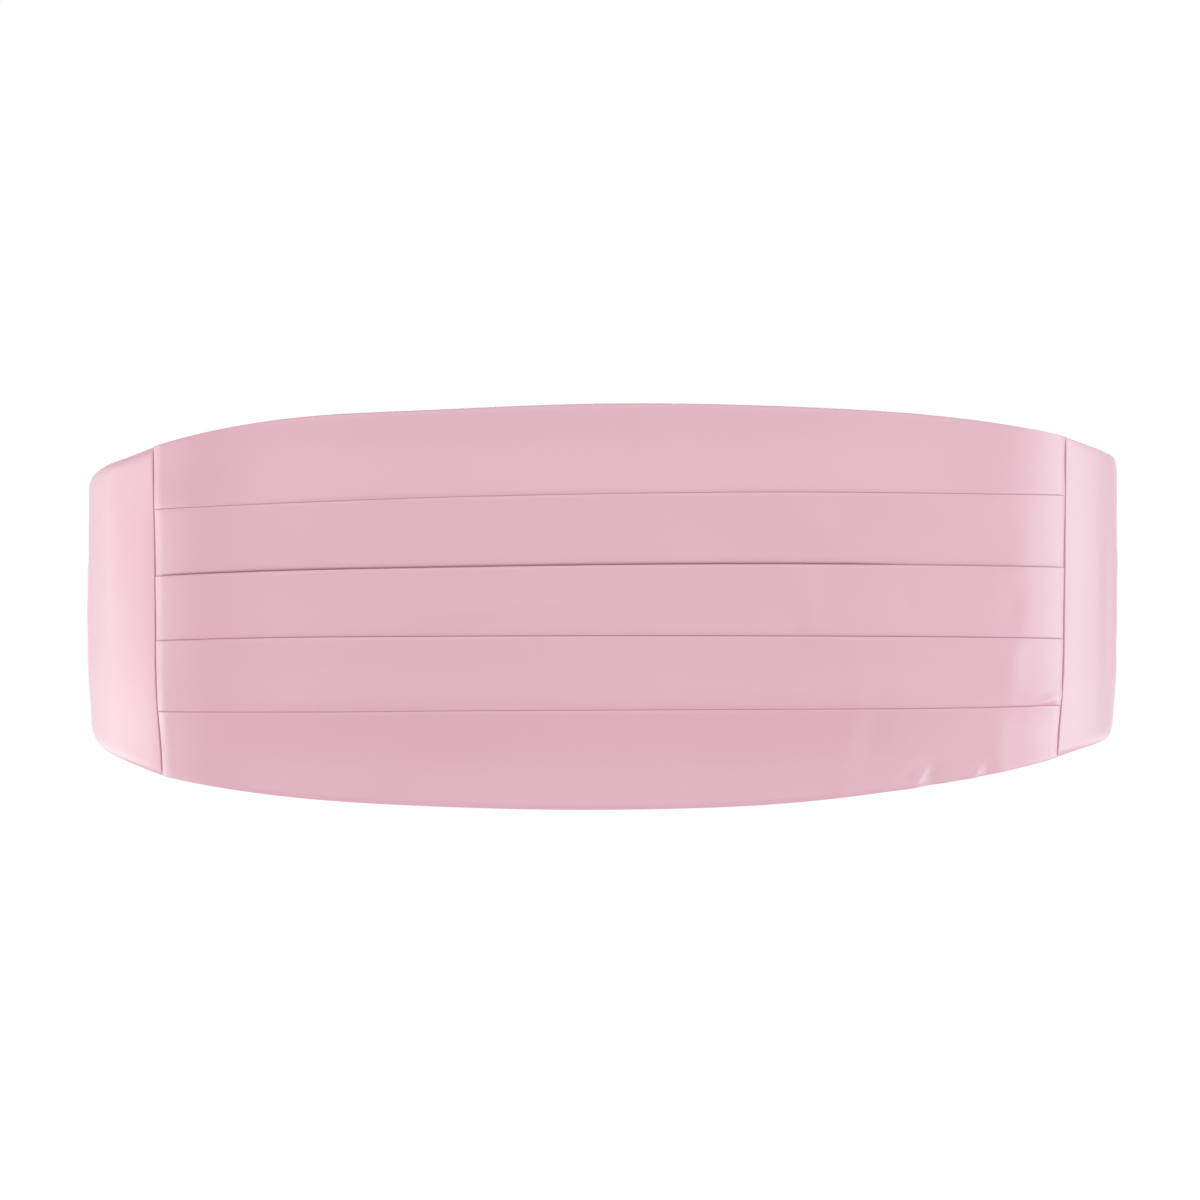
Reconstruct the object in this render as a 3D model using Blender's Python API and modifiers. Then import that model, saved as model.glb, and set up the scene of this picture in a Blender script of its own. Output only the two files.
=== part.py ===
"""A pleated satin cummerbund, fastened round an empty waist.

Metres, +Z up. The front faces -Y, and the origin is the middle of the waist at the strap's height.
A place on the garment is given by its arc, the length round the waist from centre front (positive
towards +X), its height, and its distance out from the waist. A place on the back is given by its reach,
the length from centre back (positive towards the left wing), in the same way.
"""

import math
from collections import namedtuple

import bmesh
import bpy
import numpy as np
from mathutils import Vector

MM = 0.001

# The waist: an oval, drawn in a little below the strap
WAIST_HALF_WIDTH = 171.9 * MM
WAIST_HALF_DEPTH = 116.5 * MM
UPRIGHT_DOWN_TO = 16 * MM
DRAWN_IN_BY = 60 * MM
LOWER_INSET = 2.4 * MM

# The pleated front: one cloth, folded up on itself four times, with every fold opening upwards
CLOTH = 1.0 * MM
LAYER_GAP = 0.35 * MM
UNDERLAP = 8.0 * MM
TOP_EDGE_OUT = 1.3 * MM
FOLD_STEPS = 4
FACE_STEPS = 3
PANEL_SPANS = 28
LEFT_SEAM = 159.9 * MM
RIGHT_SEAM = 167.8 * MM
SEAM_LEAN = 0.015
SEAM_GAP = 0.3 * MM
FRONT_ROLL = 12 * MM
FRONT_PRESS = 0.45
ROLL_STEPS = 3

Section = namedtuple("Section", "place top fold_1 fold_2 fold_3 fold_4 bottom")

# Heights in millimetres of the panel's edges and folds, from its left seam to its right one
PANEL_SECTIONS = (
    Section(place=0 / 6, top=50.4, fold_1=29.7, fold_2=7.7, fold_3=-13.5, fold_4=-36.7, bottom=-57.8),
    Section(place=1 / 6, top=58.5, fold_1=31.3, fold_2=9.4, fold_3=-12.2, fold_4=-36.3, bottom=-63.8),
    Section(place=2 / 6, top=61.1, fold_1=32.9, fold_2=10.4, fold_3=-11.7, fold_4=-35.6, bottom=-66.4),
    Section(place=3 / 6, top=62.8, fold_1=34.0, fold_2=11.2, fold_3=-11.5, fold_4=-35.2, bottom=-67.1),
    Section(place=4 / 6, top=62.1, fold_1=34.6, fold_2=11.5, fold_3=-11.6, fold_4=-35.1, bottom=-65.4),
    Section(place=5 / 6, top=59.5, fold_1=34.5, fold_2=11.2, fold_3=-12.0, fold_4=-35.1, bottom=-59.8),
    Section(place=6 / 6, top=53.9, fold_1=34.5, fold_2=10.7, fold_3=-12.8, fold_4=-34.7, bottom=-51.9),
)
PANEL_LEVELS = ("top", "fold_1", "fold_2", "fold_3", "fold_4", "bottom")

# The wings: plain tapering side panels, two cloths thick, from the front's seams to the strap
WING_LENGTH = 190 * MM
WING_THICK = 2.4 * MM
WING_SPANS = 22
WING_LIP = 4.0 * MM
WING_LIP_THICK = 0.5 * MM
WING_LIP_ROWS = (0, 0.1, 0.35)
WING_FACE_STEPS = 5
WING_ROLL = 5.0 * MM
WING_PRESS = 0.35

Taper = namedtuple("Taper", "place top bottom")

# Heights in millimetres of each wing's edges, from its seam to its strap end
LEFT_TAPER = (
    Taper(place=0.00, top=50.4, bottom=-57.8),
    Taper(place=0.07, top=47.6, bottom=-55.1),
    Taper(place=0.15, top=45.2, bottom=-52.2),
    Taper(place=0.25, top=41.9, bottom=-48.7),
    Taper(place=0.50, top=33.0, bottom=-38.0),
    Taper(place=0.80, top=22.3, bottom=-23.6),
    Taper(place=1.00, top=16.5, bottom=-16.5),
)
RIGHT_TAPER = (
    Taper(place=0.00, top=53.9, bottom=-51.9),
    Taper(place=0.07, top=51.7, bottom=-49.7),
    Taper(place=0.15, top=49.8, bottom=-48.0),
    Taper(place=0.25, top=47.8, bottom=-46.0),
    Taper(place=0.50, top=38.5, bottom=-37.0),
    Taper(place=0.80, top=24.5, bottom=-23.8),
    Taper(place=1.00, top=16.5, bottom=-16.5),
)

# The strap: woven tape, sewn into the wings' ends and doubled round the metal pieces; the angles are
# in degrees, of the long tape's stitched end round the slider's bar and of its climb over the same bar
TAPE_WIDTH = 25 * MM
TAPE_THICK = 1.0 * MM
TAPE_IN_WING = WING_THICK / 2
TAPE_LYING = 0.6 * MM
TAPE_OVER = TAPE_LYING + TAPE_THICK + 0.3 * MM
TAPE_SLACK = 12 * MM
TAPE_CORNER = 3.0 * MM
TAPE_STEP = 8 * MM
SHORT_TURN_BACK = 24 * MM
FIT_GAP = 0.3 * MM
WRAP_END = 130
CLIMB_ANGLE = 40

# The eye: a loop of round wire, caught by the hook at centre back
WIRE = 1.8 * MM
EYE_LENGTH = 28 * MM
EYE_DEPTH = 9 * MM
EYE_CORNER = 2.6 * MM
METAL_OUT = 2.6 * MM

# The hook: a bent plate with a slot for the tape
PLATE = 1.2 * MM
HOOK_SHOULDER = 6.8 * MM
HOOK_SLOT_NEAR = 9.3 * MM
HOOK_SLOT_FAR = 14.8 * MM
HOOK_BAR = 2.4 * MM
HOOK_HALF_WIDTH = 16 * MM
HOOK_SLOT_HALF_WIDTH = 13.4 * MM
TONGUE_HALF_WIDTH = 5 * MM
TONGUE_TIP = 4.5 * MM

# The slider: a plate with two slots, which sets the strap's length
SLIDER_REACH = 58 * MM
SLIDER_THICK = 1.4 * MM
SLIDER_BAR = 2.6 * MM
SLIDER_SLOT = 7.0 * MM
SLIDER_HALF_WIDTH = 16.5 * MM
SLIDER_SLOT_HALF_WIDTH = 13.4 * MM
SLIDER_OUT = TAPE_OVER + TAPE_THICK / 2 + FIT_GAP + SLIDER_THICK / 2
PLATE_CORNER = 2.0 * MM
PLATE_BEVEL = 0.3 * MM

SATIN_PINK = (224, 180, 192)
TAPE_PINK = (214, 168, 181)
METAL_GREY = (196, 196, 198)


def measured_waist():
    """Angles round the oval, and the arc from centre front at each of them."""
    angles = np.linspace(-math.pi, math.pi, 4001)
    across = WAIST_HALF_WIDTH * np.sin(angles)
    along = -WAIST_HALF_DEPTH * np.cos(angles)
    arcs = np.concatenate([[0], np.cumsum(np.hypot(np.diff(across), np.diff(along)))])
    return angles, arcs - arcs[len(arcs) // 2]


ANGLES, ARCS = measured_waist()
HALF_GIRTH = float(ARCS[-1])


def on_waist(arc, height, out):
    """World position of a place on the garment."""
    arc = (arc + HALF_GIRTH) % (2 * HALF_GIRTH) - HALF_GIRTH
    angle = float(np.interp(arc, ARCS, ANGLES))
    point = Vector((WAIST_HALF_WIDTH * math.sin(angle), -WAIST_HALF_DEPTH * math.cos(angle), height))
    normal = Vector((WAIST_HALF_DEPTH * math.sin(angle), -WAIST_HALF_WIDTH * math.cos(angle), 0)).normalized()
    lowness = (-height - UPRIGHT_DOWN_TO) / (DRAWN_IN_BY - UPRIGHT_DOWN_TO)
    inset = LOWER_INSET * (1 - math.cos(math.pi * min(1, max(0, lowness)))) / 2
    return point + normal * (out - inset)


def on_back(reach, height, out):
    """World position of a place on the back."""
    return on_waist(HALF_GIRTH + reach, height, out)


def smooth(rows, column, place):
    """Height in metres, at a place, on a smooth curve through one column of a table."""
    places = [row.place for row in rows]
    values = [getattr(row, column) for row in rows]
    slopes = np.gradient(values, places, edge_order=2)
    i = min(int(np.searchsorted(places, place, side="right")) - 1, len(rows) - 2)
    span = places[i + 1] - places[i]
    t = (place - places[i]) / span
    start = (1 + 2 * t) * (1 - t) ** 2 * values[i] + t * (1 - t) ** 2 * span * slopes[i]
    end = t * t * (3 - 2 * t) * values[i + 1] - t * t * (1 - t) * span * slopes[i + 1]
    return (start + end) * MM


def straight(start, end, steps):
    """Points from start to end, both included."""
    return [start.lerp(end, i / steps) for i in range(steps + 1)]


def turn(centre, radius, first, last, steps):
    """Points of an arc between two angles in degrees."""
    angles = [math.radians(first + (last - first) * i / steps) for i in range(steps + 1)]
    return [centre + radius * Vector((math.cos(angle), math.sin(angle))) for angle in angles]


def both_sides(path, thick):
    """For each point of a wall's middle line, the two points half a thickness to its sides."""
    pairs = []
    for i, here in enumerate(path):
        after = path[min(i + 1, len(path) - 1)] - path[min(i, len(path) - 2)]
        before = path[max(i, 1)] - path[max(i - 1, 0)]
        mean = (after.normalized() + before.normalized()).normalized()
        side = Vector((-mean.y, mean.x)) * (thick / 2) / mean.dot(after.normalized())
        pairs.append((here + side, here - side))
    return pairs


def material(name, colour, roughness, metallic):
    """A plain finish from an sRGB colour."""
    finish = bpy.data.materials.new(name)
    finish.use_nodes = True
    shader = finish.node_tree.nodes["Principled BSDF"]
    linear = [((value / 255 + 0.055) / 1.055) ** 2.4 for value in colour]
    shader.inputs["Base Color"].default_value = (*linear, 1)
    shader.inputs["Roughness"].default_value = roughness
    shader.inputs["Metallic"].default_value = metallic
    return finish


def add_part(name, mesh, finish):
    """Puts a mesh in the garment's collection as a named part."""
    part = bpy.data.objects.new(name, mesh)
    mesh.materials.clear()
    mesh.materials.append(finish)
    garment.objects.link(part)
    return part


def wall_mesh(name, stations):
    """Closed wall through stations, each a list of (outer, inner) pairs of points."""
    bm = bmesh.new()
    rows = [[(bm.verts.new(a), bm.verts.new(b)) for a, b in station] for station in stations]
    for row, following in zip(rows, rows[1:]):
        for i in range(len(row) - 1):
            bm.faces.new((row[i][0], row[i + 1][0], following[i + 1][0], following[i][0]))
            bm.faces.new((row[i + 1][1], row[i][1], following[i][1], following[i + 1][1]))
        for pair, other in ((row[0], following[0]), (following[-1], row[-1])):
            bm.faces.new((pair[1], pair[0], other[0], other[1]))
    for row in (rows[0], rows[-1]):
        for pair, other in zip(row, row[1:]):
            bm.faces.new((pair[0], pair[1], other[1], other[0]))
    bmesh.ops.recalc_face_normals(bm, faces=bm.faces)
    mesh = bpy.data.meshes.new(name)
    bm.to_mesh(mesh)
    bm.free()
    mesh.shade_smooth()
    mesh.set_sharp_from_angle(angle=math.radians(40))
    return mesh


def pressed(distance, roll, press):
    """How far from the waist a piece stands near a seam, where it is sewn down, against further off."""
    return 1 - press * (1 - min(1, distance / roll)) ** 2


def roll_places(roll):
    """Distances from a seam that follow a piece's roll into it, closest near the seam."""
    return [roll * (i / ROLL_STEPS) ** 1.5 for i in range(ROLL_STEPS)]


def pleated_path(levels):
    """Middle line of the folded cloth as (out, height), from its top edge down to its bottom edge."""
    layer = CLOTH + LAYER_GAP
    lying = CLOTH / 2
    brow = (layer + CLOTH) / 2
    path = []
    for i, (head, foot) in enumerate(zip(levels, levels[1:])):
        last = i == len(levels) - 2
        face_foot = Vector((lying, foot if last else foot - UNDERLAP))
        if i == 0:
            face_head = Vector((TOP_EDGE_OUT, head))
        else:
            length = head - face_foot.y
            face_head = Vector((lying + 2 * layer * length / (length - UNDERLAP), head - brow))
            path += turn(face_head - Vector((layer / 2, 0)), layer / 2, 180, 0, FOLD_STEPS)[:-1]
        path += straight(face_head, face_foot, FACE_STEPS)
        if not last:
            path += turn(face_foot + Vector((layer / 2, 0)), layer / 2, -180, 0, FOLD_STEPS)[1:]
    return path


def make_front(finish):
    """The pleated front panel."""
    length = LEFT_SEAM + RIGHT_SEAM
    rolls = roll_places(FRONT_ROLL)
    middles = np.linspace(FRONT_ROLL, length - FRONT_ROLL, PANEL_SPANS + 1)
    stations = []
    for distance in [*rolls, *middles, *(length - roll for roll in reversed(rolls))]:
        place = distance / length
        levels = [smooth(PANEL_SECTIONS, level, place) for level in PANEL_LEVELS]
        closeness = pressed(min(distance, length - distance), FRONT_ROLL, FRONT_PRESS)
        station = []
        for pair in both_sides(pleated_path(levels), CLOTH):
            points = []
            for out, height in pair:
                left = -LEFT_SEAM - SEAM_LEAN * height + SEAM_GAP / 2
                right = RIGHT_SEAM + SEAM_LEAN * height - SEAM_GAP / 2
                points.append(on_waist(left + place * (right - left), height, out * closeness))
            station.append(points)
        stations.append(station)
    add_part("pleated_front", wall_mesh("pleated_front", stations), finish)


def wing_section(top, bottom):
    """Rows of (height, inner, outer) down a wing, thin and rounded along both edges."""
    lips = [share * WING_LIP for share in WING_LIP_ROWS]
    heights = [top - lip for lip in lips]
    heights += list(np.linspace(top - WING_LIP, bottom + WING_LIP, WING_FACE_STEPS + 1))
    heights += [bottom + lip for lip in reversed(lips)]
    rows = []
    for height in heights:
        depth = min(1, min(top - height, height - bottom) / WING_LIP)
        thick = WING_LIP_THICK + (WING_THICK - WING_LIP_THICK) * math.sqrt(1 - (1 - depth) ** 2)
        rows.append((height, (WING_THICK - thick) / 2, (WING_THICK + thick) / 2))
    return rows


def make_wing(name, side, seam, taper, finish):
    """A side panel, from its seam with the front to its strap end; side is -1 left and 1 right."""
    stations = []
    for distance in [*roll_places(WING_ROLL), *np.linspace(WING_ROLL, WING_LENGTH, WING_SPANS + 1)]:
        place = distance / WING_LENGTH
        closeness = pressed(distance, WING_ROLL, WING_PRESS)
        station = []
        for height, inner, outer in wing_section(smooth(taper, "top", place), smooth(taper, "bottom", place)):
            arc = side * (seam + SEAM_GAP / 2 + distance + SEAM_LEAN * height * (1 - place))
            station.append((on_waist(arc, height, outer * closeness), on_waist(arc, height, inner)))
        stations.append(station)
    add_part(name, wall_mesh(name, stations), finish)


def eased(before, corner, after):
    """A corner of the tape's route, rounded."""
    start = corner + (before - corner).normalized() * min(TAPE_CORNER, (before - corner).length / 2)
    end = corner + (after - corner).normalized() * min(TAPE_CORNER, (after - corner).length / 2)
    return [start.lerp(corner, t).lerp(corner.lerp(end, t), t) for t in (0, 0.25, 0.5, 0.75, 1)]


def route(*stretches):
    """One path through stretches: a single point is a corner to round, a list is a turn to keep."""
    path = []
    for i, stretch in enumerate(stretches):
        if isinstance(stretch, list):
            path += stretch
        elif 0 < i < len(stretches) - 1:
            before, after = stretches[i - 1], stretches[i + 1]
            before = before[-1] if isinstance(before, list) else before
            after = after[0] if isinstance(after, list) else after
            path += eased(before, stretch, after)
        else:
            path.append(stretch)
    filled = path[:1]
    for point in path[1:]:
        steps = max(1, math.ceil((point - filled[-1]).length / TAPE_STEP))
        filled += straight(filled[-1], point, steps)[1:]
    return filled


def make_tape(name, path, finish):
    """A tape of even width that follows a route of (reach, out) points."""
    stations = []
    for height in (-TAPE_WIDTH / 2, 0, TAPE_WIDTH / 2):
        pairs = both_sides(path, TAPE_THICK)
        stations.append([[on_back(reach, height, out) for reach, out in pair] for pair in pairs])
    add_part(name, wall_mesh(name, stations), finish)


def make_straps(finish):
    """Both tapes: the long one passes through the slider and the hook, the short one holds the eye."""
    wing_end = HALF_GIRTH - RIGHT_SEAM - SEAM_GAP / 2 - WING_LENGTH - FIT_GAP
    eye_turn = WIRE / 2 + FIT_GAP + TAPE_THICK / 2
    eye_bar = Vector((-EYE_DEPTH, METAL_OUT))
    short = route(
        Vector((-wing_end, TAPE_IN_WING)),
        Vector((-EYE_DEPTH - SHORT_TURN_BACK - 2 * TAPE_SLACK, TAPE_IN_WING)),
        Vector((-EYE_DEPTH - SHORT_TURN_BACK - TAPE_SLACK / 2, TAPE_OVER)),
        Vector((-EYE_DEPTH - TAPE_SLACK, TAPE_OVER)),
        turn(eye_bar, eye_turn, 105, -90, 8),
        Vector((-EYE_DEPTH - TAPE_SLACK, TAPE_LYING)),
        Vector((-EYE_DEPTH - SHORT_TURN_BACK, TAPE_LYING)),
    )
    make_tape("strap_short", short, finish)

    wing_end = HALF_GIRTH - LEFT_SEAM - SEAM_GAP / 2 - WING_LENGTH - FIT_GAP
    hook_turn = HOOK_BAR / 2 + FIT_GAP + TAPE_THICK / 2
    hook_bar = Vector((HOOK_SLOT_FAR + HOOK_BAR / 2, METAL_OUT))
    slider_bar = Vector((SLIDER_REACH, SLIDER_OUT))
    wrap = SLIDER_BAR / 2 + FIT_GAP + TAPE_THICK / 2
    over_wrap = turn(slider_bar, wrap + TAPE_THICK + FIT_GAP, 180 - CLIMB_ANGLE, CLIMB_ANGLE, 8)
    fall = Vector((math.sin(math.radians(CLIMB_ANGLE)), -math.cos(math.radians(CLIMB_ANGLE))))
    to_hook = (over_wrap[0].y - TAPE_OVER) / fall.y
    to_wing = (over_wrap[-1].y - TAPE_IN_WING) / fall.y
    long = route(
        turn(slider_bar, wrap, WRAP_END, -90, 10),
        Vector((SLIDER_REACH - TAPE_SLACK, TAPE_LYING)),
        Vector((hook_bar.x + TAPE_SLACK / 2, TAPE_LYING)),
        turn(hook_bar, hook_turn, -90, -260, 8),
        Vector((hook_bar.x + TAPE_SLACK, TAPE_OVER)),
        over_wrap[0] + to_hook * Vector((fall.x, -fall.y)),
        over_wrap,
        over_wrap[-1] - to_wing * fall,
        Vector((wing_end, TAPE_IN_WING)),
    )
    make_tape("strap_long", long, finish)


def wrap_on_back(mesh):
    """Moves a piece modelled flat, as (reach, out, height), onto the back, with its faces outward."""
    bm = bmesh.new()
    bm.from_mesh(mesh)
    for vertex in bm.verts:
        reach, out, height = vertex.co
        vertex.co = on_back(reach, height, out)
    if bm.calc_volume(signed=True) < 0:
        bmesh.ops.reverse_faces(bm, faces=bm.faces)
    bm.to_mesh(mesh)
    bm.free()


def rounded_rectangle(half_width, half_height, radius, steps):
    """Corners of a rectangle with round corners, anticlockwise."""
    points = []
    for i, (x, y) in enumerate(((1, 1), (-1, 1), (-1, -1), (1, -1))):
        centre = Vector((x * (half_width - radius), y * (half_height - radius)))
        points += turn(centre, radius, 90 * i, 90 * i + 90, steps)
    return points


def closed_spline(curve, points):
    """Adds a closed outline of (x, y) points to a curve."""
    spline = curve.splines.new("POLY")
    spline.points.add(len(points) - 1)
    for target, (x, y) in zip(spline.points, points):
        target.co = (x, y, 0, 1)
    spline.use_cyclic_u = True


def mesh_of(curve, name):
    """A curve's evaluated surface as a welded mesh, with its flat plane turned to (reach, height)."""
    guide = bpy.data.objects.new(name, curve)
    garment.objects.link(guide)
    evaluated = guide.evaluated_get(bpy.context.evaluated_depsgraph_get())
    mesh = bpy.data.meshes.new_from_object(evaluated)
    mesh.name = name
    bpy.data.objects.remove(guide)
    bm = bmesh.new()
    bm.from_mesh(mesh)
    bmesh.ops.remove_doubles(bm, verts=bm.verts, dist=0.001 * MM)
    for vertex in bm.verts:
        vertex.co = (vertex.co.x, vertex.co.z, vertex.co.y)
    bmesh.ops.recalc_face_normals(bm, faces=bm.faces)
    bm.to_mesh(mesh)
    bm.free()
    mesh.shade_smooth()
    mesh.set_sharp_from_angle(angle=math.radians(35))
    return mesh


def make_eye(finish):
    """The wire loop on the short strap."""
    curve = bpy.data.curves.new("eye", "CURVE")
    curve.dimensions = "3D"
    curve.bevel_depth = WIRE / 2
    curve.bevel_resolution = 3
    closed_spline(curve, rounded_rectangle(EYE_DEPTH / 2, EYE_LENGTH / 2, EYE_CORNER, 5))
    mesh = mesh_of(curve, "eye")
    for vertex in mesh.vertices:
        vertex.co.x -= EYE_DEPTH / 2
        vertex.co.y += METAL_OUT
    wrap_on_back(mesh)
    add_part("eye", mesh, finish)


def make_slot_cutter():
    """The block that cuts the tape's slot through the hook's plate."""
    bm = bmesh.new()
    bmesh.ops.create_cube(bm, size=1)
    for vertex in bm.verts:
        vertex.co.x = (HOOK_SLOT_NEAR + HOOK_SLOT_FAR) / 2 + vertex.co.x * (HOOK_SLOT_FAR - HOOK_SLOT_NEAR)
        vertex.co.y = METAL_OUT + vertex.co.y * 2 * PLATE
        vertex.co.z *= 2 * HOOK_SLOT_HALF_WIDTH
    mesh = bpy.data.meshes.new("hook_slot")
    bm.to_mesh(mesh)
    bm.free()
    wrap_on_back(mesh)
    cutter = bpy.data.objects.new("hook_slot", mesh)
    cutter.hide_render = True
    cutter.display_type = "WIRE"
    cutters.objects.link(cutter)
    return cutter


def make_hook(finish):
    """The bent plate on the long strap, whose tongue goes round the eye's near bar."""
    tongue = WIRE / 2 + FIT_GAP + PLATE / 2
    plate_end = HOOK_SLOT_FAR + HOOK_BAR
    path = [Vector((reach, METAL_OUT)) for reach in (plate_end, HOOK_SLOT_NEAR, HOOK_SHOULDER)]
    path += [Vector((TONGUE_TIP, METAL_OUT + 0.8 * tongue)), Vector((TONGUE_TIP / 2, METAL_OUT + tongue))]
    path += turn(Vector((0, METAL_OUT)), tongue, 90, 270, 8)
    path.append(Vector((TONGUE_TIP, METAL_OUT - tongue)))
    widths = [HOOK_HALF_WIDTH] * 2 + [TONGUE_HALF_WIDTH] * (len(path) - 2)
    pairs = both_sides(path, PLATE)
    stations = []
    for side in (-1, 0, 1):
        stations.append([[(*point, side * width) for point in pair] for pair, width in zip(pairs, widths)])
    mesh = wall_mesh("hook", stations)
    wrap_on_back(mesh)
    hook = add_part("hook", mesh, finish)
    cut = hook.modifiers.new("slot", "BOOLEAN")
    cut.object = make_slot_cutter()
    cut.operation = "DIFFERENCE"


def make_slider(finish):
    """The plate that the long strap is threaded through."""
    curve = bpy.data.curves.new("slider", "CURVE")
    curve.dimensions = "2D"
    curve.fill_mode = "BOTH"
    curve.extrude = SLIDER_THICK / 2
    half_depth = 1.5 * SLIDER_BAR + SLIDER_SLOT
    closed_spline(curve, rounded_rectangle(half_depth, SLIDER_HALF_WIDTH, PLATE_CORNER, 4))
    slot = rounded_rectangle(SLIDER_SLOT / 2, SLIDER_SLOT_HALF_WIDTH, PLATE_CORNER / 2, 3)
    for side in (-1, 1):
        shift = side * (SLIDER_BAR + SLIDER_SLOT) / 2
        closed_spline(curve, [(x + shift, y) for x, y in slot])
    mesh = mesh_of(curve, "slider")
    for vertex in mesh.vertices:
        vertex.co.x += SLIDER_REACH
        vertex.co.y += SLIDER_OUT
    wrap_on_back(mesh)
    slider = add_part("slider", mesh, finish)
    soften = slider.modifiers.new("soft edges", "BEVEL")
    soften.width = PLATE_BEVEL
    soften.segments = 2
    soften.limit_method = "ANGLE"


for leftover in list(bpy.data.objects):
    bpy.data.objects.remove(leftover)
garment = bpy.data.collections.new("cummerbund")
cutters = bpy.data.collections.new("cutters")
bpy.context.scene.collection.children.link(garment)
bpy.context.scene.collection.children.link(cutters)

make_front(material("front satin", SATIN_PINK, 0.45, 0))
make_wing("wing_left", -1, LEFT_SEAM, LEFT_TAPER, material("left wing satin", SATIN_PINK, 0.45, 0))
make_wing("wing_right", 1, RIGHT_SEAM, RIGHT_TAPER, material("right wing satin", SATIN_PINK, 0.45, 0))
make_straps(material("strap tape", TAPE_PINK, 0.7, 0))
make_eye(material("eye wire", METAL_GREY, 0.25, 1))
make_hook(material("hook plate", METAL_GREY, 0.25, 1))
make_slider(material("slider plate", METAL_GREY, 0.25, 1))
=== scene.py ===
"""The looks of a pleated satin cummerbund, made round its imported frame.

Metres, +Z up, in the frame's own place. A spot on the garment is given by its arc, the length round the
waist from centre front (positive towards +X), its height, and its distance out from the waist. A spot on
the back is given by its reach, the length from centre back (positive towards the left wing).
"""

import math
from collections import namedtuple

import bmesh
import bpy
import numpy as np
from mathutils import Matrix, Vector


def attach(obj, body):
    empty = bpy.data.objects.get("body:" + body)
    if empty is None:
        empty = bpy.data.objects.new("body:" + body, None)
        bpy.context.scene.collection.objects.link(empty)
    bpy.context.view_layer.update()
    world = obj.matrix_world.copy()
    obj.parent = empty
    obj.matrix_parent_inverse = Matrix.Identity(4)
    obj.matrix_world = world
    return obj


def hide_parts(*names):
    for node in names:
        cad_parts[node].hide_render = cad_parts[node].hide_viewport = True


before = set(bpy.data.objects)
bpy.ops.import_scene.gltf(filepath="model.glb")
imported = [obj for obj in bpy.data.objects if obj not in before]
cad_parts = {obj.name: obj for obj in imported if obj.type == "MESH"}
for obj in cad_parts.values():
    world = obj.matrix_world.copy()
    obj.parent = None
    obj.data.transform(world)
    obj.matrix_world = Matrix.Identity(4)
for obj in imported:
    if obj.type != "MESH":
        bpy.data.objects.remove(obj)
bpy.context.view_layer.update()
MM = 0.001

# The camera
# It stands square in front of the pleats at the strap's height, 1.9 m from them, with a long lens, so
# both ends round away and the outline stays as even as in a catalogue picture.
PLEATS_FORWARD = 118.7 * MM
CAMERA_DISTANCE = 1.90
CAMERA_ASIDE = -0.8 * MM
PICTURE_WIDTH = 383.3 * MM
FILM_WIDTH = 36

camera_data = bpy.data.cameras.new("camera")
camera_data.sensor_width = FILM_WIDTH
camera_data.lens = FILM_WIDTH * CAMERA_DISTANCE / PICTURE_WIDTH
camera = bpy.data.objects.new("camera", camera_data)
camera.location = (CAMERA_ASIDE, -PLEATS_FORWARD - CAMERA_DISTANCE, 0)
camera.rotation_euler = (math.radians(90), 0, 0)
bpy.context.scene.collection.objects.link(camera)
bpy.context.scene.camera = camera

# The pleated front
# One length of pink satin, folded up on itself four times so that every pleat opens upwards, then
# pressed. Its top and bottom edges are turned in as hems, and its ends are sewn down flat to the wings.

# The waist that it lies on: an oval, and how far the cloth draws in towards its lower edge
WAIST_HALF_WIDTH = 171.9 * MM
WAIST_HALF_DEPTH = 116.5 * MM
WAIST_POINTS = 4001
UPRIGHT_DOWN_TO = 16 * MM
DRAWN_IN_BY = 60 * MM
LOWER_INSET = 2.4 * MM

# The seams with the wings: their arcs at the strap's height, their lean, and how the cloth rolls into them
LEFT_SEAM = 159.9 * MM
RIGHT_SEAM = 167.8 * MM
SEAM_LEAN = 0.015
SEAM_GAP = 0.04 * MM
SEAM_ROLL = 0.29 * MM
SEAM_DEPTH = 1.3 * MM
SEAM_ROLL_STEPS = 6
BESIDE_ROLL_STOPS = np.array([0.08, 0.32]) * MM

# The cloth with its folds and hems
SATIN_THICK = 0.2 * MM
FOLD_RADIUS = 0.12 * MM
UNDERLAP = 8.0 * MM
TUCK_BELOW = 0.3 * MM
HEM = 10.0 * MM
HEM_RADIUS = 0.35 * MM

# The faces, which fall back from their heads and may stand out again at their feet
FACE_OUT = 1.9 * MM
TOP_LOFT = 0.5 * MM
TOP_FALL = 0.6
FALL_POWER = 1.4
FOOT_FROM = 0.3
LOWEST_FOOT = 0.35 * MM

# The pressing at both ends, and the shares of the length between which a tuck is open
FRONT_PRESS_LENGTH = 5 * MM
FRONT_PRESSED_OUT = 1.5 * MM
FRONT_PRESS = 0.75
OPEN_FROM = 0.04
OPEN_UNTIL = 0.74
SHUT_FROM = 0.79

# How finely it is divided, and the bend in degrees above which an edge stays sharp
FOLD_STEPS = 6
FACE_STEPS = 20
TUCK_STEPS = 6
HIDDEN_STEPS = 4
END_STEP = 1.05 * MM
LEFT_FINE = 24 * MM
RIGHT_FINE = 66 * MM
MIDDLE_STEP = 2.05 * MM
CLOTH_SHARP_ABOVE = 55

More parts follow.
